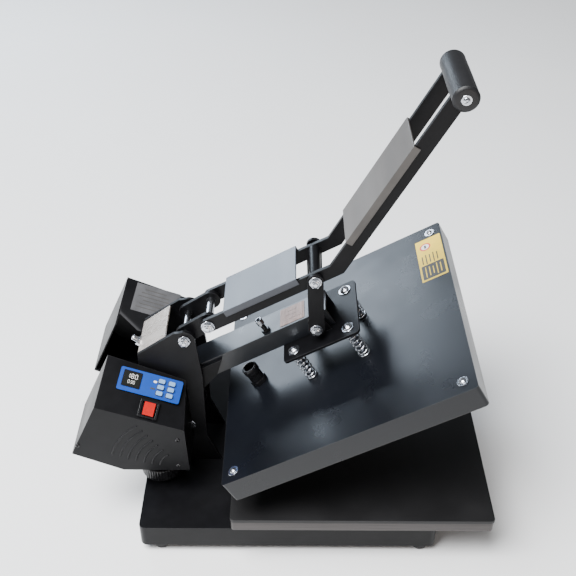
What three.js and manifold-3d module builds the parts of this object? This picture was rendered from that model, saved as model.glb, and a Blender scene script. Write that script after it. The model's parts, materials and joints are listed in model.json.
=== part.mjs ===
// Clamshell heat press, drawn open. Millimetres, +Z up, +X towards the operator, +Y away from the left side.
// Places are measured from the rear edge of the lower platen (x = 0), its centre line (y = 0) and the top
// of its silicone pad (z = 0). At the end the whole press moves so its origin is its bottom centre.
import * as THREE from 'three';
import { ConvexGeometry } from 'three/addons/geometries/ConvexGeometry.js';
import { mergeVertices } from 'three/addons/utils/BufferGeometryUtils.js';
import Module from 'manifold-3d';

const wasm = await Module();
wasm.setup();

// Driving dimensions
const PLATEN = 380;             // both platens are square
const PAD = 6;
const LOWER_PLATE = 17;
const COVER = 36;               // height of the upper platen's sheet cover
const HEATER = 14;              // heating plate, mostly inside the cover
const CLOSED_TOP = 40;          // top of the cover when the press is shut
const OPEN_ANGLE = 29.9;        // degrees
const HINGE = [-66.5, 40.3];    // main hinge, x and z
const LINK_PIN = [-65, 208.6];  // rear pin of the fulcrum plates
const FULCRUM = [-30.6, 231.9]; // the lever turns about this
const LEVER_ANGLE = 29.6;       // rear part of the lever, degrees above level
const LEVER_REAR = 171.5;       // fulcrum to knee
const KNEE_TO_BEND = 34.8;
const GRIP_AT = [286, 586];
const STRAP_FOOT = [193.5, 114.5]; // where the strap holds the arm, in the shut press
const BAR_WIDE = 22;
const BAR_IN = 31.5;
const BAR_OUT = 37.5;
const STRAP_IN = 41.1;          // the straps run outside the lever bars and their covers
const STRAP_OUT = 46.1;
const BASE = { x0: -136, x1: 303, half: 176, top: -37, high: 39, sheet: 2.5 };
const FOOT = { r: 12, high: 12 };
const UPRIGHT_IN = 36.5;
const UPRIGHT_OUT = 41.5;
const BEAM = { x0: -40, x1: 214, half: 23, low: 54.5, high: 84, wall: 3 };
const FLANGE = { low: 50, thick: 4, half: 60, x: 189 };
const BOLT_SPACING = 86;
const BOLT_R = 4;
const WHEEL_AT = [-112, -62];   // pressure wheel under the control box, x and y
const GLAND_AT = [56, -8];      // cable gland on the upper platen, x and y
const BOX_IN = 42;              // the control boxes stand this far out on each side
const BOX_OUT = 110;
const BOX_SHEET = 2;
const POWER_BOX_STEP = [9, BOX_IN + BOX_OUT, 27]; // from the near box to the far one
const GAP = 0.3;
const AROUND = 32;

const rad = THREE.MathUtils.degToRad;
const press = new THREE.Group();

const paint = { color: 0x141417, roughness: 0.38, metalness: 0.2 };
const zinc = { color: 0xb9bcc0, roughness: 0.28, metalness: 0.95 };
const steel = { color: 0x8c8e92, roughness: 0.35, metalness: 0.9 };
const aluminium = { color: 0x8f8a84, roughness: 0.42, metalness: 0.85 };
const rubber = { color: 0x101011, roughness: 0.75, metalness: 0 };

function add(name, geometry, look, parent = press) {
  const mesh = new THREE.Mesh(geometry, new THREE.MeshStandardMaterial(look));
  mesh.name = name;
  parent.add(mesh);
  return mesh;
}

// Solids for joins and cuts
function solid(geometry) {
  const bare = geometry.clone();
  bare.deleteAttribute('normal');
  bare.deleteAttribute('uv');
  const merged = mergeVertices(bare, 1e-4);
  const vertProperties = new Float32Array(merged.attributes.position.array);
  const triVerts = new Uint32Array(merged.index.array);
  return new wasm.Manifold(new wasm.Mesh({ numProp: 3, vertProperties, triVerts }));
}

function geometryOf(manifold) {
  const mesh = manifold.getMesh();
  const geometry = new THREE.BufferGeometry();
  geometry.setAttribute('position', new THREE.BufferAttribute(new Float32Array(mesh.vertProperties), 3));
  geometry.setIndex(new THREE.BufferAttribute(new Uint32Array(mesh.triVerts), 1));
  const flat = geometry.toNonIndexed();
  flat.computeVertexNormals();
  return flat;
}

function cut(geometry, ...tools) {
  return geometryOf(tools.reduce((body, tool) => body.subtract(solid(tool)), solid(geometry)));
}

function join(...pieces) {
  return geometryOf(pieces.map(solid).reduce((body, piece) => body.add(piece)));
}

// Basic shapes
function block(x0, x1, y0, y1, z0, z1) {
  const geometry = new THREE.BoxGeometry(x1 - x0, y1 - y0, z1 - z0);
  return geometry.translate((x0 + x1) / 2, (y0 + y1) / 2, (z0 + z1) / 2);
}

function pinAcross(x, z, r, y0, y1, around = AROUND) {
  return new THREE.CylinderGeometry(r, r, y1 - y0, around).translate(x, (y0 + y1) / 2, z);
}

function post(x, y, r, z0, z1, around = AROUND) {
  const geometry = new THREE.CylinderGeometry(r, r, z1 - z0, around).rotateX(Math.PI / 2);
  return geometry.translate(x, y, (z0 + z1) / 2);
}

// A flat plate whose outline is drawn in x and z, from y0 to y1
function plate(shape, y0, y1, segments = 8) {
  const settings = { depth: y1 - y0, bevelEnabled: false, curveSegments: segments };
  return new THREE.ExtrudeGeometry(shape, settings).rotateX(Math.PI / 2).translate(0, y1, 0);
}

function roundedSlab(x0, x1, half, z0, z1, r) {
  const shape = new THREE.Shape();
  shape.moveTo(x0 + r, -half);
  shape.absarc(x1 - r, -half + r, r, -Math.PI / 2, 0);
  shape.absarc(x1 - r, half - r, r, 0, Math.PI / 2);
  shape.absarc(x0 + r, half - r, r, Math.PI / 2, Math.PI);
  shape.absarc(x0 + r, -half + r, r, Math.PI, Math.PI * 1.5);
  const settings = { depth: z1 - z0, bevelEnabled: false, curveSegments: 6 };
  return new THREE.ExtrudeGeometry(shape, settings).translate(0, 0, z0);
}

function ringPoints([x, z], r, count = 24) {
  const angles = Array.from({ length: count }, (_, i) => (i / count) * Math.PI * 2);
  return angles.map((a) => new THREE.Vector2(x + Math.cos(a) * r, z + Math.sin(a) * r));
}

function hole(shape, place, r) {
  shape.holes.push(new THREE.Path(ringPoints(place, r)));
}

function polygon(points) {
  return new THREE.Shape(points.map(([x, z]) => new THREE.Vector2(x, z)));
}

// A flat bar round-ended at both pins
function strapShape(a, b, r) {
  const angle = Math.atan2(b[1] - a[1], b[0] - a[0]);
  const shape = new THREE.Shape();
  shape.absarc(b[0], b[1], r, angle - Math.PI / 2, angle + Math.PI / 2);
  shape.absarc(a[0], a[1], r, angle + Math.PI / 2, angle + Math.PI * 1.5);
  return shape;
}

function along([x, z], degrees, distance, offset = 0) {
  const c = Math.cos(rad(degrees));
  const s = Math.sin(rad(degrees));
  return [x + c * distance - s * offset, z + s * distance + c * offset];
}

function turned([x, z], degrees) {
  const c = Math.cos(rad(degrees));
  const s = Math.sin(rad(degrees));
  const dx = x - HINGE[0];
  const dz = z - HINGE[1];
  return [HINGE[0] + c * dx - s * dz, HINGE[1] + s * dx + c * dz];
}

const sides = [['left', -1], ['right', 1]];

// A plate on one side: inner and outer distances from the centre line
function sidePlate(shape, side, inner, outer, segments) {
  return side < 0 ? plate(shape, -outer, -inner, segments) : plate(shape, inner, outer, segments);
}

function addBase() {
  const { x0, x1, half, top, high, sheet } = BASE;
  const outside = roundedSlab(x0, x1, half, top - high, top, 10);
  const inside = roundedSlab(x0 + sheet, x1 - sheet, half - sheet, top - high - 1, top - sheet, 8);
  add('base_frame', cut(outside, inside), paint);
  const places = [['rear_left', x0 + 30, -1], ['rear_right', x0 + 30, 1], ['front_left', x1 - 22, -1],
    ['front_right', x1 - 22, 1]];
  for (const [where, x, side] of places) {
    const bottom = top - high - FOOT.high;
    const foot = new THREE.LatheGeometry([[0, 0], [FOOT.r - 1.5, 0], [FOOT.r, 2], [FOOT.r - 1, FOOT.high + 8],
      [0, FOOT.high + 8]].map(([r, z]) => new THREE.Vector2(r, z)), 24);
    foot.rotateX(Math.PI / 2).translate(x, side * (half - FOOT.r - 3), bottom);
    add(`foot_${where}`, foot, rubber);
  }
}

function addLowerPlaten() {
  add('silicone_pad', roundedSlab(0, PLATEN, PLATEN / 2, -PAD, 0, 6), rubber);
  add('lower_platen', roundedSlab(1, PLATEN - 1, PLATEN / 2 - 1, -PAD - LOWER_PLATE, -PAD - GAP, 5), aluminium);
  const top = -PAD - LOWER_PLATE - GAP;
  for (const [name, x] of [['rear', 60], ['front', 250]]) {
    add(`riser_${name}`, block(x, x + 30, -130, 130, BASE.top + GAP, top), paint);
  }
}

function uprightShape() {
  const shape = polygon([[-76, BASE.top + GAP], [-76, 0], [-134, 60], [-134, 182.6], [-80, 221]]);
  shape.absarc(LINK_PIN[0], LINK_PIN[1], 15, rad(112), rad(-8), true);
  shape.lineTo(-43, 140);
  shape.lineTo(-43, 20);
  shape.lineTo(-22, BASE.top + GAP);
  hole(shape, HINGE, 8 + GAP);
  hole(shape, LINK_PIN, 5 + GAP);
  return shape;
}

function addUprights() {
  for (const [name, side] of sides) {
    add(`upright_${name}`, sidePlate(uprightShape(), side, UPRIGHT_IN, UPRIGHT_OUT), paint);
    const link = strapShape(LINK_PIN, FULCRUM, 14);
    hole(link, LINK_PIN, 5 + GAP);
    hole(link, FULCRUM, 6 + GAP);
    add(`fulcrum_plate_${name}`, sidePlate(link, side, 22, 28), paint);
  }
  const half = UPRIGHT_IN - GAP;
  const cover = polygon([[-133, 178], [-92, 209.5], [-93.8, 211.9], [-134.8, 180.4]]);
  add('upright_cover', plate(cover, -half, half), { color: 0xb9ada4, roughness: 0.3, metalness: 0.6 });
  add('main_hinge_pin', pinAcross(...HINGE, 8, -41.7, 41.7), zinc);
}

function addPin(name, [x, z], r, inner, outer, parent = press) {
  const head = r * 1.75;
  const pieces = [pinAcross(x, z, r, -outer, outer, 24), pinAcross(x, z, head, inner, outer - 1, 6),
    pinAcross(x, z, head, 1 - outer, -inner, 6)];
  add(name, join(...pieces), zinc, parent);
}

// One control box: an upright near face, a sloping console face above it and a foot cut level.
// The same box stands on both sides, turned the same way; d draws its hollow that much smaller.
function boxPoints(d, nearY, farY) {
  const near = [[-190 + d, 143 - d / 2], [-66 - d, 97.5 - d / 2], [-63 - d, 14.8 + d],
    [-161 + d / 2, 14.8 + d], [-233.7 + 1.5 * d, 49 + d]].map(([x, z]) => [x, nearY, z]);
  const far = [[-176.5 + d, 182.5 - 1.6 * d], [-67.3 - d, 133.5 - 1.6 * d], [-63 - d, 14.8 + d],
    [-161 + d / 2, 14.8 + d], [-223 + 1.5 * d, 83.3 + d]].map(([x, z]) => [x, farY, z]);
  return [...near, ...far].map((p) => new THREE.Vector3(...p));
}

function boxShell(openNear) {
  const [near, far] = openNear ? [-BOX_OUT - 1, -BOX_IN - BOX_SHEET] : [-BOX_OUT + BOX_SHEET, -BOX_IN + 1];
  const shell = new ConvexGeometry(boxPoints(0, -BOX_OUT, -BOX_IN));
  return cut(shell, new ConvexGeometry(boxPoints(BOX_SHEET, near, far)));
}

// The console face's own frame, from its rear top corner: x along the ridge, y down the slope, z out
function consoleFrame() {
  const ridge = new THREE.Vector3(124, 0, -45.5).normalize();
  const slope = new THREE.Vector3(-13.5, BOX_IN - BOX_OUT, -39.5);
  slope.addScaledVector(ridge, -slope.dot(ridge)).normalize();
  const group = new THREE.Group();
  const out = new THREE.Vector3().crossVectors(slope, ridge);
  group.applyMatrix4(new THREE.Matrix4().makeBasis(ridge.negate(), slope, out));
  group.position.set(-176.5, -BOX_IN, 182.5);
  press.add(group);
  return group;
}

function addBoxes() {
  add('control_box', boxShell(false), paint);
  add('power_box', boxShell(true).translate(...POWER_BOX_STEP), paint);
  add('controller_board', block(-160, -80, -100, -98.4, 40, 95), { color: 0x1f5a35, roughness: 0.5 });
  const inlet = join(block(-140, -102, 62, 90, 37.2, 41.5), block(-136, -106, 66, 86, 30, 38));
  add('power_inlet', inlet, rubber);
}

function addConsole() {
  const face = consoleFrame();
  const place = (s0, s1, t0, t1, z0, z1) => block(-s1, -s0, t0, t1, z0, z1);
  const z0 = GAP + 0.6;
  add('control_panel', place(23.5, 115.5, 11, 45, z0, z0 + 1.6), { color: 0x1c62b8, roughness: 0.4 }, face);
  const top = z0 + 1.6 + GAP;
  add('display_window', place(29, 55, 15, 38, top, top + 1), { color: 0x2b3b38, roughness: 0.15 }, face);
  for (const [column, s] of [80, 95].entries()) {
    for (const [row, t] of [16, 25, 34].entries()) {
      const button = place(s, s + 9, t, t + 6, top + 0.8, top + 2.8);
      add(`button_${column + 1}_${row + 1}`, button, { color: 0xd8dde2, roughness: 0.5 }, face);
    }
  }
  const bezel = cut(place(62, 90, 50, 76, z0, z0 + 2.5), place(65, 87, 53, 73, z0 - 1, z0 + 4));
  add('rocker_bezel', bezel, rubber, face);
  const rocker = polygon([[-9.5, -0.8], [9.5, -0.8], [9.5, 5], [0, 3.2], [-9.5, 5]]);
  const geometry = plate(rocker, -8, 8).rotateZ(Math.PI / 2);
  geometry.translate(-76, 63, z0 + 1.2);
  add('rocker_switch', geometry, { color: 0xc22a1e, roughness: 0.35 }, face);
}

function addPressureWheel() {
  const teeth = 36;
  const shape = new THREE.Shape();
  for (let i = 0; i < teeth * 4; i += 1) {
    const turn = (i / (teeth * 4)) * Math.PI * 2;
    const r = 31 + Math.cos(turn * teeth) * 1;
    shape[i ? 'lineTo' : 'moveTo'](Math.cos(turn) * r, Math.sin(turn) * r);
  }
  hole(shape, [0, 0], 6 + GAP);
  const [x, y] = WHEEL_AT;
  const wheel = new THREE.ExtrudeGeometry(shape, { depth: 24, bevelEnabled: false, curveSegments: 12 });
  add('pressure_wheel', wheel.translate(x, y, -32), rubber);
  add('pressure_screw', post(x, y, 6, BASE.top + GAP, 14, 24), steel);
}

// Everything on the arm is drawn as in the shut press, then swung open about the main hinge
const arm = new THREE.Group();
arm.position.set(HINGE[0], 0, HINGE[1]);
arm.rotation.y = -rad(OPEN_ANGLE);
const shut = new THREE.Group();
shut.position.set(-HINGE[0], 0, -HINGE[1]);
arm.add(shut);
press.add(arm);

function cheekShape() {
  const low = CLOSED_TOP + BEAM.low;
  const high = CLOSED_TOP + BEAM.high;
  const shape = new THREE.Shape();
  shape.absarc(HINGE[0], HINGE[1], 20, rad(150), rad(360));
  shape.lineTo(-30, 78);
  shape.lineTo(18, low + 4);
  shape.lineTo(40, high - 4);
  shape.lineTo(-36, high - 4);
  shape.lineTo(-62, 90);
  hole(shape, HINGE, 8 + GAP);
  return shape;
}

function addArm() {
  const { x0, x1, half, low, high, wall } = BEAM;
  const z0 = CLOSED_TOP + low;
  const z1 = CLOSED_TOP + high;
  const channel = cut(block(x0, x1, -half, half, z0, z1), block(x0 - 1, x1 + 1, wall - half, half - wall, z0 - 1,
    z1 - wall), pinAcross(...STRAP_FOOT, 5 + GAP, -40, 40));
  add('arm_beam', channel, paint, shut);
  for (const [name, side] of sides) {
    add(`arm_cheek_${name}`, sidePlate(cheekShape(), side, half + GAP, half + GAP + 6), paint, shut);
  }
  const flange = CLOSED_TOP + FLANGE.low;
  const slab = roundedSlab(FLANGE.x - FLANGE.half, FLANGE.x + FLANGE.half, FLANGE.half, flange,
    flange + FLANGE.thick, 6);
  const ear = new THREE.Shape();
  ear.moveTo(STRAP_FOOT[0] - 14, flange + 1);
  ear.lineTo(STRAP_FOOT[0] + 14, flange + 1);
  ear.absarc(STRAP_FOOT[0], STRAP_FOOT[1], 12, 0, Math.PI);
  const ears = sides.map(([, side]) => sidePlate(ear, side, half + 2, half + 7));
  const bracket = join(slab, ...ears);
  const holes = boltPlaces().map(([x, y]) => post(x, y, BOLT_R + GAP, flange - 5, flange + 10));
  add('arm_bracket', cut(bracket, ...holes, pinAcross(...STRAP_FOOT, 5 + GAP, -40, 40)), paint, shut);
  addPin('strap_foot_bolt', STRAP_FOOT, 5, STRAP_OUT + GAP, STRAP_OUT + 8.8, shut);
}

function boltPlaces() {
  const d = BOLT_SPACING / 2;
  return [[-d, -d], [-d, d], [d, -d], [d, d]].map(([x, y]) => [FLANGE.x + x, y]);
}

function addUpperPlaten() {
  const bottom = CLOSED_TOP - COVER;
  const outside = roundedSlab(0, PLATEN, PLATEN / 2, bottom, CLOSED_TOP, 5);
  const inside = roundedSlab(2, PLATEN - 2, PLATEN / 2 - 2, bottom - 1, CLOSED_TOP - 2, 4);
  const shell = cut(outside, inside, post(...GLAND_AT, 8 + GAP, CLOSED_TOP - 5, CLOSED_TOP + 5),
    ...boltPlaces().map(([x, y]) => post(x, y, BOLT_R + GAP, CLOSED_TOP - 5, CLOSED_TOP + 5)));
  add('platen_cover', shell, paint, shut);
  const plateTop = HEATER;
  add('heating_plate', roundedSlab(3, PLATEN - 3, PLATEN / 2 - 3, GAP, plateTop, 4), aluminium, shut);
  const wool = roundedSlab(6, PLATEN - 6, PLATEN / 2 - 6, plateTop + GAP, CLOSED_TOP - 2 - GAP, 4);
  const ways = [[...GLAND_AT, 8], ...boltPlaces().map(([x, y]) => [x, y, BOLT_R])];
  const bores = ways.map(([x, y, r]) => post(x, y, r + GAP, bottom, CLOSED_TOP));
  add('insulation', cut(wool, ...bores), { color: 0xcfcabd, roughness: 0.95 }, shut);
  const gland = new THREE.LatheGeometry([[0, -4], [8, -4], [8, 0.3], [13, 0.3], [13, 8], [10, 11], [10, 24], [7, 33],
    [0, 33]].map(([r, z]) => new THREE.Vector2(r, z)), 24);
  add('cable_gland', gland.rotateX(Math.PI / 2).translate(...GLAND_AT, CLOSED_TOP), rubber, shut);
  const names = ['rear_left', 'rear_right', 'front_left', 'front_right'];
  const flange = CLOSED_TOP + FLANGE.low;
  for (const [i, [x, y]] of boltPlaces().entries()) {
    const head = flange + FLANGE.thick + GAP;
    const bolt = join(post(x, y, BOLT_R, plateTop + GAP, head + 4), post(x, y, 7.5, head, head + 5));
    add(`guide_bolt_${names[i]}`, bolt, zinc, shut);
    const tube = cut(post(x, y, 9, CLOSED_TOP + GAP, flange - GAP, 24), post(x, y, 6.5, CLOSED_TOP - 1, flange + 1, 24));
    add(`spring_${names[i]}`, tube, zinc, shut);
  }
}

// The lever: two bent flat bars, open at rest, with a cover on each straight part
function addLever() {
  const half = BAR_WIDE / 2;
  const knee = along(FULCRUM, LEVER_ANGLE, LEVER_REAR);
  const bend = along(FULCRUM, LEVER_ANGLE, LEVER_REAR + KNEE_TO_BEND);
  const upper = THREE.MathUtils.radToDeg(Math.atan2(GRIP_AT[1] - bend[1], GRIP_AT[0] - bend[0]));
  const mitre = half * Math.tan(rad(upper - LEVER_ANGLE) / 2);
  const bar = new THREE.Shape();
  bar.absarc(...FULCRUM, half, rad(LEVER_ANGLE + 90), rad(LEVER_ANGLE + 270));
  bar.lineTo(...along(bend, LEVER_ANGLE, mitre, -half));
  bar.absarc(...GRIP_AT, half, rad(upper - 90), rad(upper + 90));
  bar.lineTo(...along(bend, upper, -mitre, half));
  hole(bar, FULCRUM, 6 + GAP);
  for (const [name, side] of sides) {
    add(`lever_bar_${name}`, sidePlate(bar, side, BAR_IN, BAR_OUT, 10), paint);
  }
  addLeverCover('rear_cover', FULCRUM, LEVER_ANGLE, 33, 149);
  addLeverCover('front_cover', bend, upper, 41, 202);
  add('knee_spacer', pinAcross(...knee, 8.5, GAP - BAR_IN, BAR_IN - GAP), paint);
  const grip = new THREE.LatheGeometry([[0, -57], [14, -57], [16.5, -54], [16.5, 54], [14, 57], [0, 57]]
    .map(([r, y]) => new THREE.Vector2(r, y)), AROUND).translate(GRIP_AT[0], 0, GRIP_AT[1]);
  const seats = sides.map(([, side]) => sidePlate(strapShape(along(GRIP_AT, upper, -40), GRIP_AT, half + GAP), side,
    BAR_IN - GAP, BAR_OUT + GAP));
  add('grip', cut(grip, ...seats), rubber);
}

function addLeverCover(name, from, angle, s0, s1) {
  const rise = BAR_WIDE / 2 + GAP;
  const corners = [[s0, rise], [s1, rise], [s1, rise + 2.5], [s0, rise + 2.5]];
  const sheet = plate(polygon(corners.map(([s, n]) => along(from, angle, s, n))), -BAR_OUT - 3, BAR_OUT + 3);
  const lip = [[s0, rise - 8], [s1, rise - 8], [s1, rise + 1], [s0, rise + 1]];
  const lips = sides.map(([, side]) => sidePlate(polygon(lip.map(([s, n]) => along(from, angle, s, n))), side,
    BAR_OUT + GAP, BAR_OUT + 3));
  add(name, join(sheet, ...lips), paint);
}

// The straps join the knee of the lever to the arm; their own bolt ends stand clear of the lever bars
function addStraps() {
  const knee = along(FULCRUM, LEVER_ANGLE, LEVER_REAR);
  const foot = turned(STRAP_FOOT, OPEN_ANGLE);
  for (const [name, side] of sides) {
    const strap = strapShape(foot, knee, 11);
    hole(strap, knee, 5 + GAP);
    hole(strap, foot, 5 + GAP);
    add(`strap_${name}`, sidePlate(strap, side, STRAP_IN, STRAP_OUT), paint);
    const y = (a, b) => (side < 0 ? [-b, -a] : [a, b]);
    const stub = join(pinAcross(...knee, 5, ...y(STRAP_IN - 0.2, STRAP_OUT + 8), 24),
      pinAcross(...knee, 9, ...y(STRAP_OUT + GAP, STRAP_OUT + 7), 6));
    add(`knee_bolt_${name}`, stub, zinc);
  }
}

addBase();
addLowerPlaten();
addUprights();
addPin('fulcrum_rear_bolt', LINK_PIN, 5, UPRIGHT_OUT + GAP, UPRIGHT_OUT + 8.8);
addPin('fulcrum_bolt', FULCRUM, 6, BAR_OUT + GAP, BAR_OUT + 8.8);
addBoxes();
addConsole();
addPressureWheel();
addArm();
addUpperPlaten();
addLever();
addStraps();

press.updateMatrixWorld(true);
const bounds = new THREE.Box3().setFromObject(press, true);
const middle = bounds.getCenter(new THREE.Vector3());
press.position.set(-middle.x, -middle.y, -bounds.min.z);

export default press;
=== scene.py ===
"""Looks of the heat press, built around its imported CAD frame. Blender units are metres.

Sizes in the calls below are in millimetres wherever they are multiplied by MM.
"""
import json
import math

import bmesh
import bpy
from mathutils import Matrix, Vector


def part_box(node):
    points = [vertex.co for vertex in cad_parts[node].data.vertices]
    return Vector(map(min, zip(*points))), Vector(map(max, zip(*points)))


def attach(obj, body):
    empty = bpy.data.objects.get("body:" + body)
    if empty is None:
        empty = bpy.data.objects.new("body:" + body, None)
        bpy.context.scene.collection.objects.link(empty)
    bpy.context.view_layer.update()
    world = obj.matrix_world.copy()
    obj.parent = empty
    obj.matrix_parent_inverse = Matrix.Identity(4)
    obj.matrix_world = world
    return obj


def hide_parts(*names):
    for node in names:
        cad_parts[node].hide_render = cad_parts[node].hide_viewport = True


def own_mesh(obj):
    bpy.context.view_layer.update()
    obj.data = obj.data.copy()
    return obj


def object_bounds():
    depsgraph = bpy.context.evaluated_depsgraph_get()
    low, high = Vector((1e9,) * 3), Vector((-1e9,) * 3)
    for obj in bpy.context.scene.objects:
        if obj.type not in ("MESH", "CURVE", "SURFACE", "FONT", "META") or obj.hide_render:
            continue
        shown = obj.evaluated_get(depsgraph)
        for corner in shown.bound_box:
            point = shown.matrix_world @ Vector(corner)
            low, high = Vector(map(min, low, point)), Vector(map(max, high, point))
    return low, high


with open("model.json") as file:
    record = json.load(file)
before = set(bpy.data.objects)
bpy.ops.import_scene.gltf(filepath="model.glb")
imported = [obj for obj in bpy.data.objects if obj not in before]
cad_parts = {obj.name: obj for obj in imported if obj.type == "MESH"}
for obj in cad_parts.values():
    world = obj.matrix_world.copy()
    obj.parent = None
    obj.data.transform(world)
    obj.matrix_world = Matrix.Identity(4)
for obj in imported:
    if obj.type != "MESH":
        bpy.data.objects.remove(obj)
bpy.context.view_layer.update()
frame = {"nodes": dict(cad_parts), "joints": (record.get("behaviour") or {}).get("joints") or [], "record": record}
MM = 0.001
NEAR, FAR = -1, 1    # signs of the machine's two sides along Y
NODES = frame["nodes"]
BODY_OF = {n: b for b, ns in frame["record"]["behaviour"]["bodies"].items() for n in ns}
SLOT_OF = {s["node"]: s["material_slot"] for s in frame["record"]["subparts"]}
JOINTS = {j["name"]: j for j in frame["joints"]}
X, Y, Z = Vector((1, 0, 0)), Vector((0, 1, 0)), Vector((0, 0, 1))

SHARP_ANGLE = 30          # degrees between faces where an edge gets a bevel
WASHER_THICK = 1.3        # millimetres, under the nuts and heads of the pivots
NUT_ROOM = 8.6            # millimetres at each end of a long pin, for its washer and its nut or head
SCREW_WASHER = 0.0012     # metres thick, under the small screws
EDGE_HIGHLIGHT_RADIUS = 0.0009      # metres that the painted edge highlight reaches from an edge
EDGE_HIGHLIGHT_STARTS, EDGE_HIGHLIGHT_FULL = 0.995, 0.90    # agreement between the true and the rounded normal, where the painted edge highlight starts and where it is full
# light grey painted along sharp edges as a highlight, in place of light caught on the bevels
EDGE_HIGHLIGHT_COLOR = (0.10, 0.10, 0.105, 1)
BUMP_DEPTH = 0.0004       # metres
SHEEN_SCALE = 14          # noise scale of the slow change in roughness

# ---------------------------------------------------------------- materials


def shader(name, color, rough, metal=0.0, spot=(0.0, 200.0), rough_vary=0.0, bump=(0.0, 1500.0),
           stretch=(1, 1, 1), edge_highlight=0.0, coat=0.0, gleam=0.5):
    """A Principled material with procedural detail.

    spot and bump are (strength, noise scale), stretch squeezes the noise along each axis, edge_highlight
    lightens the edges as a painted highlight, and gleam is the specular level.
    """
    mat = bpy.data.materials.new(name)
    mat.use_nodes = True
    nodes, links = mat.node_tree.nodes, mat.node_tree.links
    out = nodes["Principled BSDF"]
    out.inputs["Base Color"].default_value = (*color, 1)
    out.inputs["Roughness"].default_value = rough
    out.inputs["Metallic"].default_value = metal
    out.inputs["Coat Weight"].default_value = coat
    out.inputs["Specular IOR Level"].default_value = gleam
    coords = nodes.new("ShaderNodeTexCoord")
    mapping = nodes.new("ShaderNodeMapping")
    mapping.inputs["Scale"].default_value = stretch
    links.new(coords.outputs["Object"], mapping.inputs["Vector"])

    def noise(scale, detail=4.0):
        node = nodes.new("ShaderNodeTexNoise")
        node.inputs["Scale"].default_value = scale
        node.inputs["Detail"].default_value = detail
        links.new(mapping.outputs["Vector"], node.inputs["Vector"])
        return node.outputs["Fac"]

    def spread(value, low, high):
        node = nodes.new("ShaderNodeMapRange")
        node.inputs["From Min"].default_value = 0.3
        node.inputs["From Max"].default_value = 0.7
        node.inputs["To Min"].default_value = low
        node.inputs["To Max"].default_value = high
        links.new(value, node.inputs["Value"])
        return node.outputs["Result"]

    color_out = None
    if spot[0]:
        ramp = nodes.new("ShaderNodeValToRGB")
        ramp.color_ramp.elements[0].position = 0.35
        ramp.color_ramp.elements[1].position = 0.68
        ramp.color_ramp.elements[0].color = (*[c * (1 - spot[0]) for c in color], 1)
        ramp.color_ramp.elements[1].color = (*[min(1, c * (1 + spot[0])) for c in color], 1)
        links.new(noise(spot[1]), ramp.inputs["Fac"])
        color_out = ramp.outputs["Color"]
    # Painted edge highlight: the edges are mixed towards a light grey, in place of light caught on the bevels.
    if edge_highlight:
        geo = nodes.new("ShaderNodeNewGeometry")
        soft = nodes.new("ShaderNodeBevel")
        soft.inputs["Radius"].default_value = EDGE_HIGHLIGHT_RADIUS
        agree = nodes.new("ShaderNodeVectorMath")
        agree.operation = "DOT_PRODUCT"
        links.new(soft.outputs["Normal"], agree.inputs[0])
        links.new(geo.outputs["Normal"], agree.inputs[1])
        edge = nodes.new("ShaderNodeMapRange")
        edge.inputs["From Min"].default_value = EDGE_HIGHLIGHT_STARTS
        edge.inputs["From Max"].default_value = EDGE_HIGHLIGHT_FULL
        edge.inputs["To Max"].default_value = edge_highlight
        links.new(agree.outputs["Value"], edge.inputs["Value"])
        mix = nodes.new("ShaderNodeMix")
        mix.data_type = "RGBA"
        mix.inputs["A"].default_value = (*color, 1)
        mix.inputs["B"].default_value = EDGE_HIGHLIGHT_COLOR
        if color_out:
            links.new(color_out, mix.inputs["A"])
        links.new(edge.outputs["Result"], mix.inputs["Factor"])
        color_out = mix.outputs["Result"]
    if color_out:
        links.new(color_out, out.inputs["Base Color"])
    if rough_vary:
        varied = spread(noise(SHEEN_SCALE), rough - rough_vary, rough + rough_vary)
        links.new(varied, out.inputs["Roughness"])
    if bump[0]:
        node = nodes.new("ShaderNodeBump")
        node.inputs["Strength"].default_value = bump[0]
        node.inputs["Distance"].default_value = BUMP_DEPTH
        links.new(noise(bump[1], 2.0), node.inputs["Height"])
        links.new(node.outputs["Normal"], out.inputs["Normal"])
    return mat


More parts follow.
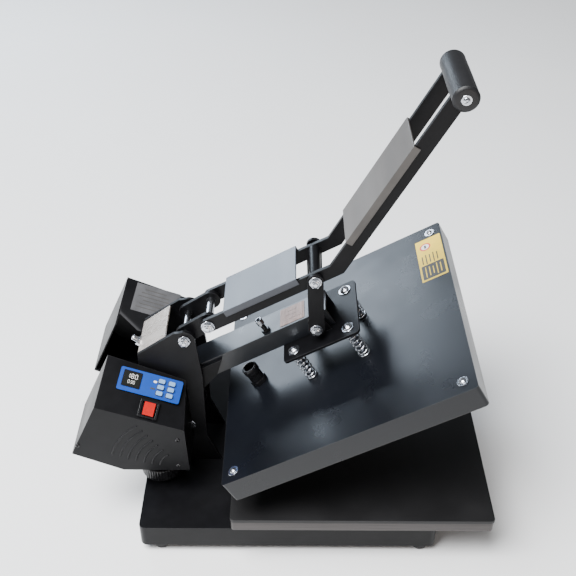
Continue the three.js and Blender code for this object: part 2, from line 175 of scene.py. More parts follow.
MATERIALS = {
    "black_paint": shader("powder_coat", (0.0035, 0.0035, 0.0042), 0.36, 0.0, (0.18, 60), 0.06, (0.14, 900),
                          edge_highlight=0.3, gleam=0.14),
    # The rear cover's black paint is lifted to a blue grey: a painted sheen of the blue window light, on top of
    # its own dark paint.
    "cover_rear": shader("rear_cover_paint_and_sheen", (0.017, 0.021, 0.031), 0.33, 0.0, (0.12, 45), 0.06, (0.10, 900),
                         (1, 0.2, 1), edge_highlight=0.5, gleam=0.6),
    # The front cover's black paint is lifted to a warm grey: a painted reflection of the pale floor and the warm
    # front light, on top of its own dark paint.
    "cover_front": shader("front_cover_paint_and_reflection", (0.050, 0.045, 0.041), 0.35, 0.0, (0.12, 45),
                          0.06, (0.10, 900), (1, 0.2, 1), edge_highlight=0.4, gleam=0.5),
    "beam_paint": shader("beam_paint", (0.0065, 0.0078, 0.0105), 0.33, 0.0, (0.12, 45), 0.06, (0.10, 900),
                         edge_highlight=0.4, gleam=0.6),
    "platen_paint": shader("platen_paint", (0.0035, 0.0042, 0.0062), 0.30, 0.0, (0.15, 12),
                           0.04, (0.06, 1100), edge_highlight=0.3, gleam=0.3),
    "dark_plate": shader("dark_plate", (0.035, 0.033, 0.032), 0.45, 0.6, (0.15, 60), 0.08, (0.2, 700)),
    "zinc": shader("bright_zinc", (0.55, 0.57, 0.61), 0.22, 1.0, (0.10, 120), 0.05, (0.02, 700)),
    "steel": shader("turned_steel", (0.42, 0.42, 0.43), 0.34, 1.0, (0.12, 90), 0.08, (0.2, 900), (1, 1, 9)),
    "aluminium": shader("milled_aluminium", (0.055, 0.050, 0.049), 0.42, 0.6, (0.16, 40), 0.1, (0.3, 500),
                        (0.25, 0.25, 14)),
    "silicone": shader("silicone_sheet", (0.0070, 0.0068, 0.0074), 0.5, 0.0, (0.2, 14), 0.06, (0.12, 1200),
                       gleam=0.3),
    "rubber": shader("moulded_rubber", (0.008, 0.008, 0.009), 0.5, 0.0, (0.2, 150), 0.06, (0.3, 1500),
                     gleam=0.3),
    "cover_strip": shader("brushed_cover", (0.60, 0.54, 0.49), 0.3, 0.75, (0.06, 30), 0.07, (0.2, 400),
                          (1, 18, 1)),
    "panel_blue": shader("membrane_blue", (0.003, 0.045, 0.27), 0.42, 0.0, (0.05, 60), 0.04, (0.12, 1400),
                         gleam=0.25),
    "display": shader("display_glass", (0.010, 0.011, 0.010), 0.12, 0.0, (0.06, 40), gleam=0.4),
    "button": shader("pale_keys", (0.16, 0.30, 0.52), 0.45, 0.0, (0.05, 300), 0.05, (0.1, 900)),
    "rocker_red": shader("red_rocker", (0.42, 0.007, 0.005), 0.2, 0.0, (0.08, 200), 0.03, coat=0.7),
    "black_plastic": shader("moulded_black", (0.006, 0.006, 0.007), 0.24, 0.0, (0.15, 200),
                            0.06, (0.25, 1300), gleam=0.4),
    "board_green": shader("circuit_board", (0.02, 0.11, 0.045), 0.4, 0.0, (0.2, 300), 0.05, (0.1, 900)),
    "wool": shader("mineral_wool", (0.55, 0.52, 0.46), 0.95, 0.0, (0.2, 220), 0.03, (0.8, 600)),
    "label_yellow": shader("label_yellow", (0.80, 0.56, 0.03), 0.45, 0.0, (0.06, 50), 0.05, (0.05, 900)),
    "label_dark": shader("label_dark", (0.035, 0.033, 0.03), 0.45, 0.0, (0.1, 50), 0.05, (0.05, 900)),
    "label_red": shader("label_red", (0.60, 0.03, 0.02), 0.45, 0.0, (0.05, 50), 0.05, (0.05, 900)),
    "label_white": shader("label_white", (0.75, 0.74, 0.72), 0.5, 0.0, (0.05, 50), 0.05, (0.05, 900)),
    "label_grey": shader("paper_grey", (0.050, 0.050, 0.054), 0.6, 0.0, (0.2, 70), 0.05, (0.3, 500)),
    "bronze": shader("bronze_plate", (0.15, 0.078, 0.050), 0.33, 0.4, (0.15, 50), 0.06, (0.15, 600),
                     (20, 1, 1)),
    "bronze_dark": shader("bronze_dark", (0.12, 0.07, 0.05), 0.4, 0.5, (0.15, 50), 0.06, (0.15, 600)),
    "grip_foam": shader("grip_foam", (0.006, 0.006, 0.007), 0.46, 0.0, (0.15, 90), 0.07, (0.35, 2200),
                        gleam=0.35),
}

# ---------------------------------------------------------------- mesh helpers


def mesh_object(name, bm, slot, body, material=None, smooth=35):
    """A finished mesh that rides on a body. Edges sharper than smooth, in degrees, stay crisp."""
    bmesh.ops.recalc_face_normals(bm, faces=bm.faces)
    data = bpy.data.meshes.new(name)
    bm.to_mesh(data)
    bm.free()
    obj = bpy.data.objects.new(name, data)
    bpy.context.scene.collection.objects.link(obj)
    data.materials.append(MATERIALS[material or slot])
    for face in data.polygons:
        face.use_smooth = True
    limit = math.radians(smooth)
    shaded = bmesh.new()
    shaded.from_mesh(data)
    for edge in shaded.edges:
        if len(edge.link_faces) == 2:
            edge.smooth = edge.calc_face_angle(0) < limit
    shaded.to_mesh(data)
    shaded.free()
    even = obj.modifiers.new("even_normals", "WEIGHTED_NORMAL")
    even.keep_sharp = True
    even.weight = 90
    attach(obj, body)
    return obj


def bevelled(bm, width, segments):
    """Rounds the sharp edges by a width in metres."""
    limit = math.radians(SHARP_ANGLE)
    sharp = [e for e in bm.edges if len(e.link_faces) == 2 and e.calc_face_angle(0) > limit]
    bmesh.ops.bevel(bm, geom=sharp, offset=width, segments=segments, profile=0.6, affect="EDGES",
                    clamp_overlap=True)


def refine(node, width, segments=2, material=None):
    """A bevelled copy of a CAD node that stands for it."""
    bm = bmesh.new()
    bm.from_mesh(NODES[node].data)
    bmesh.ops.remove_doubles(bm, verts=bm.verts, dist=2e-6)
    bmesh.ops.dissolve_limit(bm, angle_limit=math.radians(1), verts=bm.verts, edges=bm.edges)
    bevelled(bm, width, segments)
    obj = mesh_object(node + "_body", bm, SLOT_OF[node], BODY_OF[node], material)
    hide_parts(node)


def axes_to(axis, side=None):
    """A rotation whose third axis is the given direction."""
    k = Vector(axis).normalized()
    i = Vector(side) if side is not None else (Y if abs(k.dot(Y)) < 0.9 else X)
    i = (i - k * i.dot(k)).normalized()
    j = k.cross(i)
    return Matrix((i, j, k)).transposed().to_4x4()


def placed(at, axis, side=None):
    """A frame at a place, with its third axis along axis."""
    return Matrix.Translation(Vector(at)) @ axes_to(axis, side)


def turned(bm, profile, around=32, at=Matrix.Identity(4)):
    """Adds a turned solid: profile is (radius, height) from the axis back to the axis."""
    rings = []
    for r, h in profile:
        if r < 1e-9:
            rings.append([bm.verts.new(at @ Vector((0, 0, h)))])
        else:
            rings.append([bm.verts.new(at @ Vector((r * math.cos(a), r * math.sin(a), h)))
                          for a in (2 * math.pi * i / around for i in range(around))])
    for low, high in zip(rings, rings[1:]):
        for i in range(around):
            k = (i + 1) % around
            if len(low) == 1 and len(high) > 1:
                bm.faces.new((low[0], high[i], high[k]))
            elif len(high) == 1 and len(low) > 1:
                bm.faces.new((low[i], low[k], high[0]))
            elif len(low) > 1:
                bm.faces.new((low[i], low[k], high[k], high[i]))


def prism(bm, outline, h0, h1, at=Matrix.Identity(4), bevel=0.0):
    """Adds an extruded outline of (x, y) points between two heights, with a bevel round its top."""
    low = [bm.verts.new(at @ Vector((x, y, h0))) for x, y in outline]
    high = [bm.verts.new(at @ Vector((x, y, h1))) for x, y in outline]
    bm.faces.new(low[::-1])
    top = bm.faces.new(high)
    for i in range(len(low)):
        k = (i + 1) % len(low)
        bm.faces.new((low[i], low[k], high[k], high[i]))
    if bevel:
        bmesh.ops.bevel(bm, geom=list(top.edges), offset=bevel, segments=2, profile=0.6, affect="EDGES")


def rounded(w, h, r, cx=0.0, cy=0.0, steps=5):
    """Outline of a rectangle with round corners."""
    points = []
    for sx, sy, start in ((1, -1, -90), (1, 1, 0), (-1, 1, 90), (-1, -1, 180)):
        for i in range(steps + 1):
            a = math.radians(start + 90 * i / steps)
            points.append((cx + sx * (w / 2 - r) + r * math.cos(a), cy + sy * (h / 2 - r) + r * math.sin(a)))
    return points


def hexagon(r):
    """Outline of a hexagon, from its middle to a corner r."""
    return [(r * math.cos(math.pi / 3 * i), r * math.sin(math.pi / 3 * i)) for i in range(6)]


def add_washer(bm, at, r, hole, thick):
    """A flat ring with chamfered outer edges."""
    turned(bm, [(hole, 0), (r - thick * 0.3, 0), (r, thick * 0.3), (r, thick * 0.7), (r - thick * 0.3, thick),
                (hole, thick), (hole, 0)], 32, at)


def add_nut(bm, at, r, high):
    """A hexagon nut with a round collar and the bolt's end in it."""
    prism(bm, hexagon(r), 0, high * 0.72, at, bevel=r * 0.09)
    turned(bm, [(0, high * 0.7), (r * 0.74, high * 0.7), (r * 0.74, high * 0.86), (r * 0.62, high * 0.98),
                (r * 0.5, high), (r * 0.5, high * 0.9), (0, high * 0.9)], 28, at)
    turned(bm, [(0, high * 0.85), (r * 0.44, high * 0.85), (r * 0.44, high * 1.1), (r * 0.34, high * 1.2),
                (0, high * 1.2)], 20, at)


def add_button_head(bm, at, r, high):
    """A domed head with a round socket."""
    dome = [(0, 0), (r, 0), (r, high * 0.2)]
    for degrees in (15, 30, 45, 60):
        a = math.radians(degrees)
        dome.append((r * math.cos(a), high * (0.2 + 0.8 * math.sin(a))))
    dome += [(r * 0.42, high), (r * 0.42, high * 0.45), (0, high * 0.45)]
    turned(bm, dome, 28, at)


def add_thread(bm, at, r, high, pitch=1.25):
    """A rod ringed like a thread, its sizes in millimetres."""
    profile = [(0, 0)]
    for i in range(int(high / pitch)):
        profile += [(r * MM, i * pitch * MM), ((r - 0.45) * MM, (i + 0.5) * pitch * MM)]
    profile += [(r * MM, high * MM), (0, high * MM)]
    turned(bm, profile, 24, at)


def screw(name, at, axis, r, high, body, slot="zinc", washer=None):
    """A small domed screw, on a washer of the given radius if there is one."""
    bm = bmesh.new()
    lift = 0.0
    if washer:
        add_washer(bm, placed(at, axis), washer, r * 0.5, SCREW_WASHER)
        lift = SCREW_WASHER
    add_button_head(bm, placed(Vector(at) + Vector(axis).normalized() * lift, axis), r, high)
    mesh_object(name, bm, slot, body)


# ---------------------------------------------------------------- frames of reference

# NORMAL and ALONG go with the arm; PANEL_OUT, RIDGE and DOWN go with the control box's sloping face.
NORMAL = Vector(JOINTS["platen_float"]["axis"]).normalized()
ALONG = Y.cross(NORMAL).normalized()
if ALONG.x < 0:
    ALONG = -ALONG
PANEL_OUT = -Vector(JOINTS["button_1_1_press"]["axis"]).normalized()
RIDGE = Vector(JOINTS["rocker_tilt"]["axis"]).normalized()
DOWN = RIDGE.cross(PANEL_OUT).normalized()
if DOWN.z > 0:
    DOWN = -DOWN


def span(node, direction):
    """Lowest and highest place of a node along a direction."""
    places = [v.co.dot(direction) for v in NODES[node].data.vertices]
    return min(places), max(places)


def on_arm(u, y, n):
    """A place on the arm, in millimetres: along the cover from its rear edge, across, and above its top."""
    u0 = span("platen_cover", ALONG)[0]
    n0 = span("platen_cover", NORMAL)[1]
    return ALONG * (u0 + u * MM) + Y * (y * MM) + NORMAL * (n0 + n * MM)


# The beam's top above the upper platen's cover, in millimetres.
BEAM_TOP = (span("arm_beam", NORMAL)[1] - span("platen_cover", NORMAL)[1]) / MM


# ---------------------------------------------------------------- carried-over shells


def build_shells():
    """Bevelled copies of the CAD's own shapes; the sizes are bevel widths in millimetres."""
    sizes = {"base_frame": 1.2, "upright_left": 0.7, "upright_right": 0.7, "upright_cover": 0.5,
             "fulcrum_plate_left": 0.7, "fulcrum_plate_right": 0.7, "arm_beam": 0.9, "arm_cheek_left": 0.8,
             "arm_cheek_right": 0.8, "arm_bracket": 0.6, "platen_cover": 0.9, "heating_plate": 0.8,
             "lower_platen": 0.8, "silicone_pad": 0.6, "riser_front": 1.0, "riser_rear": 1.0,
             "control_box": 0.8, "power_box": 0.8, "lever_bar_left": 0.9, "lever_bar_right": 0.9,
             "rear_cover": 1.1, "front_cover": 1.1, "strap_left": 0.8, "strap_right": 0.8, "knee_spacer": 0.8,
             "main_hinge_pin": 0.8, "pressure_screw": 0.5, "controller_board": 0.2, "insulation": 0.4,
             "foot_rear_left": 0.8, "foot_rear_right": 0.8, "foot_front_left": 0.8, "foot_front_right": 0.8}
    looks = {"rear_cover": "cover_rear", "front_cover": "cover_front", "arm_beam": "beam_paint",
             "platen_cover": "platen_paint"}
    for node, width in sizes.items():
        refine(node, width * MM, 2, looks.get(node))
    refine("rocker_bezel", 0.4 * MM)
    refine("power_inlet", 0.5 * MM)


# ---------------------------------------------------------------- fasteners


def build_pins():
    """Long pins with nuts on the near side and domed heads on the far side."""
    # Each has its node, then the radii of its shaft and of its nut or head, in millimetres.
    sizes = (("fulcrum_rear_bolt", 5, 7.8), ("fulcrum_bolt", 6, 8.8), ("strap_foot_bolt", 5, 7.8))
    for node, r, head in sizes:
        low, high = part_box(node)
        middle = (low + high) / 2
        reach = (high.y - low.y) / 2
        bm = bmesh.new()
        shaft = reach - 1.5 * MM
        turned(bm, [(0, -shaft), (r * MM, -shaft), (r * MM, shaft), (0, shaft)], 28, placed(middle, Y))
        face = reach - NUT_ROOM * MM
        for side in (NEAR, FAR):
            spot = placed(middle + Y * side * face, Y * side)
            add_washer(bm, spot, (head + 0.9) * MM, r * MM, WASHER_THICK * MM)
            lifted = placed(middle + Y * side * (face + WASHER_THICK * MM), Y * side)
            if side == NEAR:
                add_nut(bm, lifted, head * MM, 6.0 * MM)
            else:
                add_button_head(bm, lifted, head * MM, 5.5 * MM)
        obj = mesh_object(node + "_set", bm, "zinc", BODY_OF[node])
        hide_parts(node)


def build_knee_bolts():
    """The bolts where the straps meet the lever, one on each side."""
    for name, side in (("left", NEAR), ("right", FAR)):
        node = f"knee_bolt_{name}"
        low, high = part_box(node)
        middle = (low + high) / 2
        inner = low.y if side == FAR else high.y
        bm = bmesh.new()
        turned(bm, [(0, 0), (5 * MM, 0), (5 * MM, 7 * MM), (0, 7 * MM)], 28,
               placed((middle.x, inner, middle.z), Y * side))
        base = inner + side * 5.4 * MM
        add_washer(bm, placed((middle.x, base, middle.z), Y * side), 8.8 * MM, 5 * MM, WASHER_THICK * MM)
        spot = placed((middle.x, base + side * WASHER_THICK * MM, middle.z), Y * side)
        if side == NEAR:
            add_nut(bm, spot, 7.8 * MM, 5.6 * MM)
        else:
            add_button_head(bm, spot, 7.8 * MM, 5.2 * MM)
        obj = mesh_object(node + "_set", bm, "zinc", BODY_OF[node])
        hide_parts(node)


def build_guide_bolts():
    """The four guide bolts of the upper platen, each with its spring."""
    for end in ("rear", "front"):
        for side in ("left", "right"):
            node = f"guide_bolt_{end}_{side}"
            u = sum(span(node, ALONG)) / 2
            y = sum(span(node, Y)) / 2
            n0, n1 = span(node, NORMAL)
            foot = ALONG * u + Y * y + NORMAL * n0
            high = n1 - n0
            bm = bmesh.new()
            turned(bm, [(0, 0), (4 * MM, 0), (4 * MM, high - 4 * MM), (0, high - 4 * MM)], 24,
                   placed(foot, NORMAL))
            head = foot + NORMAL * (high - 5 * MM)
            add_washer(bm, placed(head, NORMAL), 9.5 * MM, 4 * MM, 1.0 * MM)
            add_button_head(bm, placed(head + NORMAL * 1.0 * MM, NORMAL), 7.2 * MM, 4.2 * MM)
            obj = mesh_object(node + "_set", bm, "zinc", "platen")
            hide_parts(node)
            build_spring(f"spring_{end}_{side}", u, y)


def build_spring(node, u, y, turns=7.5, wire=1.35, coil=8.9):
    """A coil with closed ends that sits between the cover and the bracket."""
    n0, n1 = span(node, NORMAL)
    foot = ALONG * u + Y * y + NORMAL * n0
    high = (n1 - n0) / MM
    steps, ring = int(turns * 22), 8    # places along the wire, and corners round it
    bm = bmesh.new()
    at = placed(foot, NORMAL)
    rings = []
    r = coil - wire
    for i in range(steps + 1):
        t = i / steps
        ease = min(1.0, max(0.0, (t * turns - 0.9) / (turns - 1.8)))
        a = t * turns * 2 * math.pi
        height = wire + ease * (high - 2 * wire)
        out = Vector((math.cos(a), math.sin(a), 0))
        middle = out * r + Z * height
        rings.append([bm.verts.new(at @ ((middle + (out * math.cos(b) + Z * math.sin(b)) * wire) * MM))
                      for b in (2 * math.pi * k / ring for k in range(ring))])
    for low, top in zip(rings, rings[1:]):
        for k in range(ring):
            m = (k + 1) % ring
            bm.faces.new((low[k], low[m], top[m], top[k]))
    bm.faces.new(rings[0][::-1])
    bm.faces.new(rings[-1])
    obj = mesh_object(node + "_coil", bm, "zinc", "arm", smooth=60)
    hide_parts(node)
    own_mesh(obj)


def build_small_screws():
    """The cover's corner screws, the cap screw on the beam and the screws in the grip's ends."""
    for i, u in enumerate((18.5, 361.5)):
        for k, y in enumerate((-171, 171)):
            screw(f"cover_screw_{i}{k}", on_arm(u, y, 0.0), NORMAL, 4.6 * MM, 2.6 * MM, "platen",
                  washer=8.2 * MM)
    foot = on_arm(117, -13, BEAM_TOP)
    bm = bmesh.new()
    add_thread(bm, placed(foot, NORMAL), 3.6, 15)
    prism(bm, hexagon(6.5 * MM), 0, 4.5 * MM, placed(foot, NORMAL), bevel=0.5 * MM)
    mesh_object("beam_cap_screw_shank", bm, "black_plastic", "arm")
    bm = bmesh.new()
    turned(bm, [(0, 0), (5.4 * MM, 0), (5.4 * MM, 8.2 * MM), (4.8 * MM, 9 * MM), (2.9 * MM, 9 * MM),
                (2.9 * MM, 4 * MM), (0, 4 * MM)], 28, placed(foot + NORMAL * 15 * MM, NORMAL))
    mesh_object("beam_cap_screw", bm, "zinc", "arm")
    low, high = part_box("grip")
    middle = (low + high) / 2
    for name, side, y in (("left", NEAR, low.y), ("right", FAR, high.y)):
        at = (middle.x, y - side * 0.3 * MM, middle.z)
        screw(f"grip_screw_{name}", at, Y * side, 4.2 * MM, 2.2 * MM, "lever", washer=6.6 * MM)


# ---------------------------------------------------------------- grip and gland


def build_grip():
    """The foam sleeve: rounded ends with a faint lip, and very slightly fuller in its middle."""
    low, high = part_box("grip")
    middle = (low + high) / 2
    half = (high.y - low.y) / 2
    r = (high.x - low.x) / 2
    profile = [(0, -half), (r * 0.72, -half), (r * 0.9, -half + 0.8 * MM), (r, -half + 3.2 * MM)]
    count = 26
    for i in range(count + 1):
        t = i / count
        y = (-half + 4 * MM) + t * 2 * (half - 4 * MM)
        profile.append((r * (0.985 + 0.012 * math.sin(math.pi * t)), y))
    profile += [(r, half - 3.2 * MM), (r * 0.9, half - 0.8 * MM), (r * 0.72, half), (0, half)]
    bm = bmesh.new()
    turned(bm, profile, 56, placed(middle, Y))
    obj = mesh_object("grip_sleeve", bm, "rubber", "lever", "grip_foam", smooth=50)
    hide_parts("grip")


def build_gland():
    """The cable gland: a hexagon, a ribbed body and a ring that the cable would leave by."""
    node = "cable_gland"
    u = sum(span(node, ALONG)) / 2
    y = sum(span(node, Y)) / 2
    n1 = span(node, NORMAL)[1]
    n0 = span("platen_cover", NORMAL)[1]
    at = placed(ALONG * u + Y * y + NORMAL * n0, NORMAL)
    bm = bmesh.new()
    prism(bm, hexagon(13 * MM), 0.3 * MM, 8 * MM, at, bevel=0.9 * MM)
    count = 20
    outline = []
    for i in range(count * 4):
        a = 2 * math.pi * i / (count * 4)
        rib = (10.6 + (0.35 if i % 4 < 2 else -0.25)) * MM
        outline.append((rib * math.cos(a), rib * math.sin(a)))
    prism(bm, outline, 8.3 * MM, 22 * MM, at, bevel=0.6 * MM)
    top = n1 - n0
    turned(bm, [(0, 21 * MM), (10.6 * MM, 21 * MM), (12.2 * MM, 23 * MM), (12.4 * MM, top - 2 * MM),
                (11.6 * MM, top - 0.6 * MM), (10.2 * MM, top), (8.2 * MM, top - 0.6 * MM),
                (7.4 * MM, top - 6 * MM), (0, top - 7 * MM)], 40, at)
    obj = mesh_object("cable_gland_set", bm, "black_plastic", "platen")
    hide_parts(node)


# ---------------------------------------------------------------- console


def console(s, t):
    """A place on the console face, from the middle of the blue panel, in millimetres."""
    top = span("control_panel", PANEL_OUT)[1]
    s0 = sum(span("control_panel", RIDGE)) / 2
    t0 = sum(span("control_panel", DOWN)) / 2
    return RIDGE * (s0 + s * MM) + DOWN * (t0 + t * MM) + PANEL_OUT * top


def console_slab(bm, s, t, w, h, n0, n1, r, bevel):
    """Adds a round-cornered plate on the console face, all in millimetres."""
    at = placed(console(s, t), PANEL_OUT, RIDGE)
    prism(bm, rounded(w * MM, h * MM, r * MM), n0 * MM, n1 * MM, at, bevel=bevel * MM)


def build_panel():
    """The blue panel with its display, buttons, lamp and strip."""
    s0, s1 = (v / MM for v in span("control_panel", RIDGE))
    t0, t1 = (v / MM for v in span("control_panel", DOWN))
    bm = bmesh.new()
    console_slab(bm, 0, 0, s1 - s0, t1 - t0, -1.5, 0.0, 2.5, 0.4)
    obj = mesh_object("control_panel_sheet", bm, "panel_blue", "frame")
    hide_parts("control_panel")
    window_s, window_t = (sum(span("display_window", d)) / 2 for d in (RIDGE, DOWN))
    mid_s = window_s / MM - (s0 + s1) / 2
    mid_t = window_t / MM - (t0 + t1) / 2
    bm = bmesh.new()
    console_slab(bm, mid_s, mid_t, 27, 24, 0.1, 0.9, 1.2, 0.3)
    mesh_object("display_bezel", bm, "black_plastic", "frame")
    bm = bmesh.new()
    console_slab(bm, mid_s, mid_t, 22.5, 19, 0.5, 1.15, 0.6, 0.15)
    obj = mesh_object("display_glass_pane", bm, "display", "frame")
    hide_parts("display_window")
    build_digits(mid_s, mid_t)
    for c in (1, 2):
        for r in (1, 2, 3):
            build_button(f"button_{c}_{r}")
    bm = bmesh.new()
    console_slab(bm, 6, -6.5, 5, 3, 0.0, 0.7, 1.2, 0.3)
    mesh_object("status_lamp", bm, "label_white", "frame")
    bm = bmesh.new()
    console_slab(bm, 4.4, 4.0, 7, 2.6, 0.0, 0.35, 0.8, 0.1)
    mesh_object("lamp_strip", bm, "label_dark", "frame")


def build_digits(mid_s, mid_t):
    """Two rows of plain seven-segment figures."""
    lit = {"1": "bc", "8": "abcdefg", "0": "abcdef", "3": "abcdg"}
    bars = {"a": (0, -1, 1), "b": (1, -0.5, 0), "c": (1, 0.5, 0), "d": (0, 1, 1), "e": (-1, 0.5, 0),
            "f": (-1, -0.5, 0), "g": (0, 0, 1)}
    bm = bmesh.new()
    for row, (text, size) in enumerate((("180", 3.2), ("030", 2.2))):
        for i, figure in enumerate(text):
            s = mid_s + (i - 1) * size * 1.75
            t = mid_t - 4.2 + row * 8.6
            for part in lit[figure]:
                ds, dt, flat = bars[part]
                long, thin = size * 0.86, size * 0.2
                w, h = (long, thin) if flat else (thin, long)
                console_slab(bm, s + ds * size * 0.5, t + dt * size, w, h, 1.16, 1.24, thin * 0.3, 0.02)
    mesh_object("display_figures", bm, "label_white", "frame")


def build_button(node):
    """One key, and the dark plate that shows as a line round it."""
    s, t = (sum(span(node, d)) / 2 for d in (RIDGE, DOWN))
    n0, n1 = span(node, PANEL_OUT)
    bm = bmesh.new()
    at = placed(RIDGE * s + DOWN * t + PANEL_OUT * n0, PANEL_OUT, RIDGE)
    prism(bm, rounded(9 * MM, 6 * MM, 1.3 * MM), 0, n1 - n0, at, bevel=0.5 * MM)
    obj = mesh_object(node + "_key", bm, "button", BODY_OF[node])
    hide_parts(node)
    ring = bmesh.new()
    top = span("control_panel", PANEL_OUT)[1]
    flush = placed(RIDGE * s + DOWN * t + PANEL_OUT * top, PANEL_OUT, RIDGE)
    prism(ring, rounded(11 * MM, 7.4 * MM, 1.6 * MM), 0, 0.25 * MM, flush)
    mesh_object(node + "_surround", ring, "label_dark", "frame")


def build_rocker():
    """The red rocker, with a raised bar and a raised ring on its two halves."""
    refine("rocker_switch", 0.5 * MM, 3)
    pivot = Vector(JOINTS["rocker_tilt"]["pos_m"])
    bm = bmesh.new()
    high = 3.55 * MM
    for side in (-1, 1):
        at = placed(pivot + DOWN * side * 5.4 * MM + PANEL_OUT * high, PANEL_OUT + DOWN * side * -0.19, RIDGE)
        if side == -1:
            prism(bm, rounded(5.4 * MM, 0.9 * MM, 0.3 * MM), 0, 0.55 * MM, at, bevel=0.1 * MM)
        else:
            turned(bm, [(1.5 * MM, 0), (2.2 * MM, 0), (2.2 * MM, 0.55 * MM), (1.5 * MM, 0.55 * MM),
                        (1.5 * MM, 0)], 24, at)
    mesh_object("rocker_marks", bm, "label_white", "rocker")


# ---------------------------------------------------------------- control boxes


def build_box_detail():
    """Louvres on the near box, and screws on the outer faces of both boxes."""
    low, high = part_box("control_box")
    bm = bmesh.new()
    at = placed((high.x - 13 * MM, low.y, low.z + 8 * MM), -Y, X)
    first, step, lip = 30, 12, 1.5    # millimetres: smallest arc, space between arcs, half a lip's width
    for i in range(7):
        add_arc(bm, at, (first + i * step) * MM, lip * MM, 124, 172 - i)
    mesh_object("control_box_louvres", bm, "black_paint", "frame")
    # Screws are placed in millimetres along X from a box's high end, and up from its lowest point.
    ends = ((-16, 10), (-14, 64))
    boxes = (("control_box", NEAR, ((-160, 52), *ends)), ("power_box", FAR, ((-110, 40), *ends)))
    for box, side, places in boxes:
        low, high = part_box(box)
        y = low.y if side == NEAR else high.y
        for k, (dx, dz) in enumerate(places):
            at = (high.x + dx * MM, y, low.z + dz * MM)
            screw(f"{box}_screw_{k}", at, Y * side, 3.4 * MM, 1.8 * MM, "frame", "black_plastic")


def add_arc(bm, at, r, wide, start, end, steps=14):
    """A raised louvre lip along part of a circle, between two angles in degrees, rounded across."""
    rings = []
    for i in range(steps + 1):
        a = math.radians(start + (end - start) * i / steps)
        out = Vector((math.cos(a), math.sin(a), 0))
        ring = []
        for b in (0, 45, 90, 135, 180):
            c = math.radians(b)
            ring.append(bm.verts.new(at @ (out * (r + wide * math.cos(c)) + Z * wide * 0.9 * math.sin(c))))
        rings.append(ring)
    for low, high in zip(rings, rings[1:]):
        for k in range(4):
            bm.faces.new((low[k], low[k + 1], high[k + 1], high[k]))
        bm.faces.new((low[4], low[0], high[0], high[4]))
    bm.faces.new(rings[0])
    bm.faces.new(rings[-1][::-1])


# ---------------------------------------------------------------- labels


def build_labels():
    """Generic labels with plain bars in place of words."""
    def slab(name, u, y, w, h, n0, n1, material, body="platen", r=1.5):
        """A round-cornered plate at a place on the arm, in millimetres."""
        bm = bmesh.new()
        at = placed(on_arm(u, y, 0), NORMAL, ALONG)
        prism(bm, rounded(w * MM, h * MM, r * MM), n0 * MM, n1 * MM, at)
        mesh_object(name, bm, "black_paint", body, material)

    slab("caution_label", 356, 108, 42, 104, 0.02, 0.14, "label_yellow")
    slab("caution_label_band", 356, 77, 36, 34, 0.14, 0.2, "label_dark")
    slab("caution_ring", 350, 140, 18, 18, 0.14, 0.2, "label_red", r=8.9)
    slab("caution_ring_inside", 350, 140, 13, 13, 0.2, 0.26, "label_white", r=6.4)
    slab("caution_mark", 350, 140, 3, 8, 0.26, 0.3, "label_dark", r=1.0)
    for i in range(5):
        line, band_line = 20 + (i % 2) * 4, 26 - (i % 3) * 4
        slab(f"caution_line_{i}", 342 + i * 6, 108, 1.8, line, 0.14, 0.2, "label_dark", r=0.6)
        slab(f"caution_band_line_{i}", 344 + i * 6, 77, 1.5, band_line, 0.2, 0.26, "label_yellow", r=0.5)
    top = BEAM_TOP + 0.02
    face = top + 0.5
    slab("beam_plate", 160, 0, 40, 38, top, face, "bronze", "arm")
    for i in range(3):
        slab(f"beam_plate_line_{i}", 160, -9 + i * 9, 26 - i * 5, 0.9, face, top + 0.58, "bronze_dark", "arm",
             r=0.4)


def build_box_label():
    """The grey paper label on the far box's sloping face."""
    level = span("power_box", PANEL_OUT)[1]
    face = [v.co for v in NODES["power_box"].data.vertices if v.co.dot(PANEL_OUT) > level - 1 * MM]
    s0 = min(corner.dot(RIDGE) for corner in face)
    t0 = min(corner.dot(DOWN) for corner in face)
    at = placed(RIDGE * (s0 + 52 * MM) + DOWN * (t0 + 27 * MM) + PANEL_OUT * level, PANEL_OUT, RIDGE)
    bm = bmesh.new()
    prism(bm, rounded(70 * MM, 46 * MM, 1 * MM), 0.02 * MM, 0.18 * MM, at)
    mesh_object("rating_label", bm, "black_paint", "frame", "label_grey")
    bm = bmesh.new()
    for i in range(6):
        outline = rounded((52 - (i % 3) * 9) * MM, 1.3 * MM, 0.4 * MM, -3 * MM, (-15 + i * 6) * MM)
        prism(bm, outline, 0.18 * MM, 0.24 * MM, at)
    mesh_object("rating_label_lines", bm, "black_paint", "frame", "label_dark")


# ---------------------------------------------------------------- wheel and stop bolt


def build_wheel():
    """The pressure wheel with rounded edges and flutes round its rim."""
    node = "pressure_wheel"
    low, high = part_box(node)
    middle = (low + high) / 2
    tall = high.z - low.z
    r = (high.x - low.x) / 2
    flutes = 44
    around = flutes * 6
    rings = []
    bm = bmesh.new()
    # Shares of the wheel's height and of its radius.
    levels = [(0.0, 0.90), (0.05, 0.96), (0.12, 1.0), (0.88, 1.0), (0.95, 0.96), (1.0, 0.90)]
    for z, share in levels:
        ring = []
        for i in range(around):
            a = 2 * math.pi * i / around
            flute = -0.9 * MM * max(0.0, math.cos(a * flutes)) ** 0.7
            radius = (r + flute) * share
            ring.append(bm.verts.new((middle.x + radius * math.cos(a), middle.y + radius * math.sin(a),
                                      low.z + z * tall)))
        rings.append(ring)
    for lower, upper in zip(rings, rings[1:]):
        for i in range(len(lower)):
            k = (i + 1) % len(lower)
            bm.faces.new((lower[i], lower[k], upper[k], upper[i]))
    bm.faces.new(rings[0][::-1])
    bm.faces.new(rings[-1])
    obj = mesh_object("pressure_wheel_knurled", bm, "black_plastic", node)
    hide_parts(node)


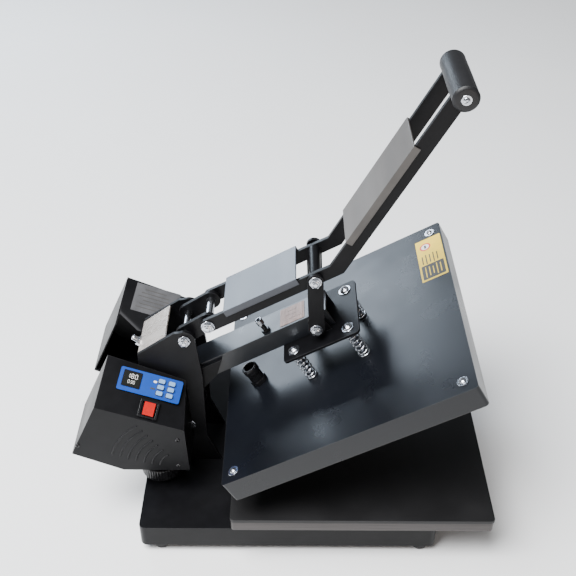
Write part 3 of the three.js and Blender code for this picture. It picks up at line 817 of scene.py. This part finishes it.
def build_stop_bolt():
    """The adjusting bolt and its two nuts, at the low end of the cover between the uprights."""
    low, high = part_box("upright_cover")
    at = Vector((low.x + 2 * MM, -4 * MM, low.z - 4 * MM))
    axis = Vector((-0.8, 0, 0.6))
    bm = bmesh.new()
    turned(bm, [(0, -14 * MM), (4 * MM, -14 * MM), (4 * MM, 16 * MM), (3.2 * MM, 17 * MM), (0, 17 * MM)], 24,
           placed(at, axis))
    prism(bm, hexagon(7.5 * MM), 2 * MM, 8 * MM, placed(at, axis), bevel=0.6 * MM)
    prism(bm, hexagon(7.5 * MM), -12 * MM, -6.5 * MM, placed(at, axis), bevel=0.6 * MM)
    mesh_object("stop_bolt", bm, "zinc", "frame")


def build_cover_hole_shade():
    """The hole in the strip between the uprights, shown as a dark disc of painted shade just proud of its face."""
    corners = [v.co for v in NODES["upright_cover"].data.vertices]
    low_x, high_x = min(c.x for c in corners), max(c.x for c in corners)
    foot = Vector((low_x, 0, max(c.z for c in corners if c.x < low_x + 1 * MM)))
    head = Vector((high_x, 0, max(c.z for c in corners)))
    slope = (head - foot).normalized()
    out = Vector((-slope.z, 0, slope.x))
    bm = bmesh.new()
    turned(bm, [(0, -0.4 * MM), (3.4 * MM, -0.4 * MM), (3.4 * MM, 0.05 * MM), (0, 0.05 * MM)], 32,
           placed(foot.lerp(head, 0.2) + out * 0.1 * MM, out))
    mesh_object("cover_hole_shade", bm, "black_plastic", "frame")


# ---------------------------------------------------------------- stage

CAMERA_AT = (8.6, -999.6, 1112.4)    # millimetres
CAMERA_LENS = 55.34                  # millimetres, on a 36 mm sensor
CAMERA_ELEVATION = 36.96             # degrees looking down
CAMERA_ROLL = 0.29                   # degrees
FLOOR_HALF = 12                      # metres, half the side of the floor
FLOOR_DROP = 0.0005                  # metres that the floor lies below the feet


def build_camera():
    """The camera that looks along +Y and down."""
    data = bpy.data.cameras.new("camera")
    data.lens = CAMERA_LENS
    data.sensor_width = 36
    data.clip_end = 50
    obj = bpy.data.objects.new("camera", data)
    bpy.context.scene.collection.objects.link(obj)
    e, roll = math.radians(CAMERA_ELEVATION), math.radians(CAMERA_ROLL)
    forward = Vector((0, math.cos(e), -math.sin(e)))
    up0 = X.cross(forward)
    right = X * math.cos(roll) + up0 * math.sin(roll)
    up = up0 * math.cos(roll) - X * math.sin(roll)
    turn = Matrix((right, up, -forward)).transposed().to_4x4()
    obj.matrix_world = Matrix.Translation(Vector(CAMERA_AT) * MM) @ turn
    bpy.context.scene.camera = obj


def add_light(name, at, target, size, power, color):
    """A soft box of the given size in metres and power in watts, turned to face its target."""
    data = bpy.data.lights.new(name, "AREA")
    data.shape = "RECTANGLE"
    data.size, data.size_y = size
    data.energy = power
    data.color = color
    obj = bpy.data.objects.new(name, data)
    bpy.context.scene.collection.objects.link(obj)
    direction = Vector(target) - Vector(at)
    obj.location = at
    obj.rotation_mode = "QUATERNION"
    obj.rotation_quaternion = direction.to_track_quat("-Z", "Y")


def build_stage():
    """A pale floor, a dim studio and three soft lights."""
    bm = bmesh.new()
    bmesh.ops.create_grid(bm, x_segments=2, y_segments=2, size=FLOOR_HALF)
    data = bpy.data.meshes.new("floor")
    bm.to_mesh(data)
    bm.free()
    floor = bpy.data.objects.new("floor", data)
    bpy.context.scene.collection.objects.link(floor)
    data.materials.append(shader("floor_paper", (0.86, 0.86, 0.86), 0.9, spot=(0.01, 2)))
    floor.location.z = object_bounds()[0].z - FLOOR_DROP
    world = bpy.data.worlds.new("studio")
    world.use_nodes = True
    background = world.node_tree.nodes["Background"]
    background.inputs["Color"].default_value = (0.95, 0.97, 1.0, 1)
    background.inputs["Strength"].default_value = 0.25
    bpy.context.scene.world = world
    middle = (0, 0, 0.25)
    add_light("key", (-1.1, -0.8, 2.9), middle, (1.8, 2.2), 340, (0.98, 0.99, 1.0))
    add_light("front", (0.9, -2.3, 0.6), middle, (1.0, 0.7), 10, (1.0, 0.80, 0.64))
    add_light("window", (-1.5, 2.3, 1.25), middle, (1.3, 0.9), 50, (0.74, 0.86, 1.0))


build_camera()
build_shells()
build_pins()
build_knee_bolts()
build_guide_bolts()
build_small_screws()
build_grip()
build_gland()
build_panel()
build_rocker()
build_box_detail()
build_labels()
build_box_label()
build_wheel()
build_stop_bolt()
build_cover_hole_shade()
build_stage()
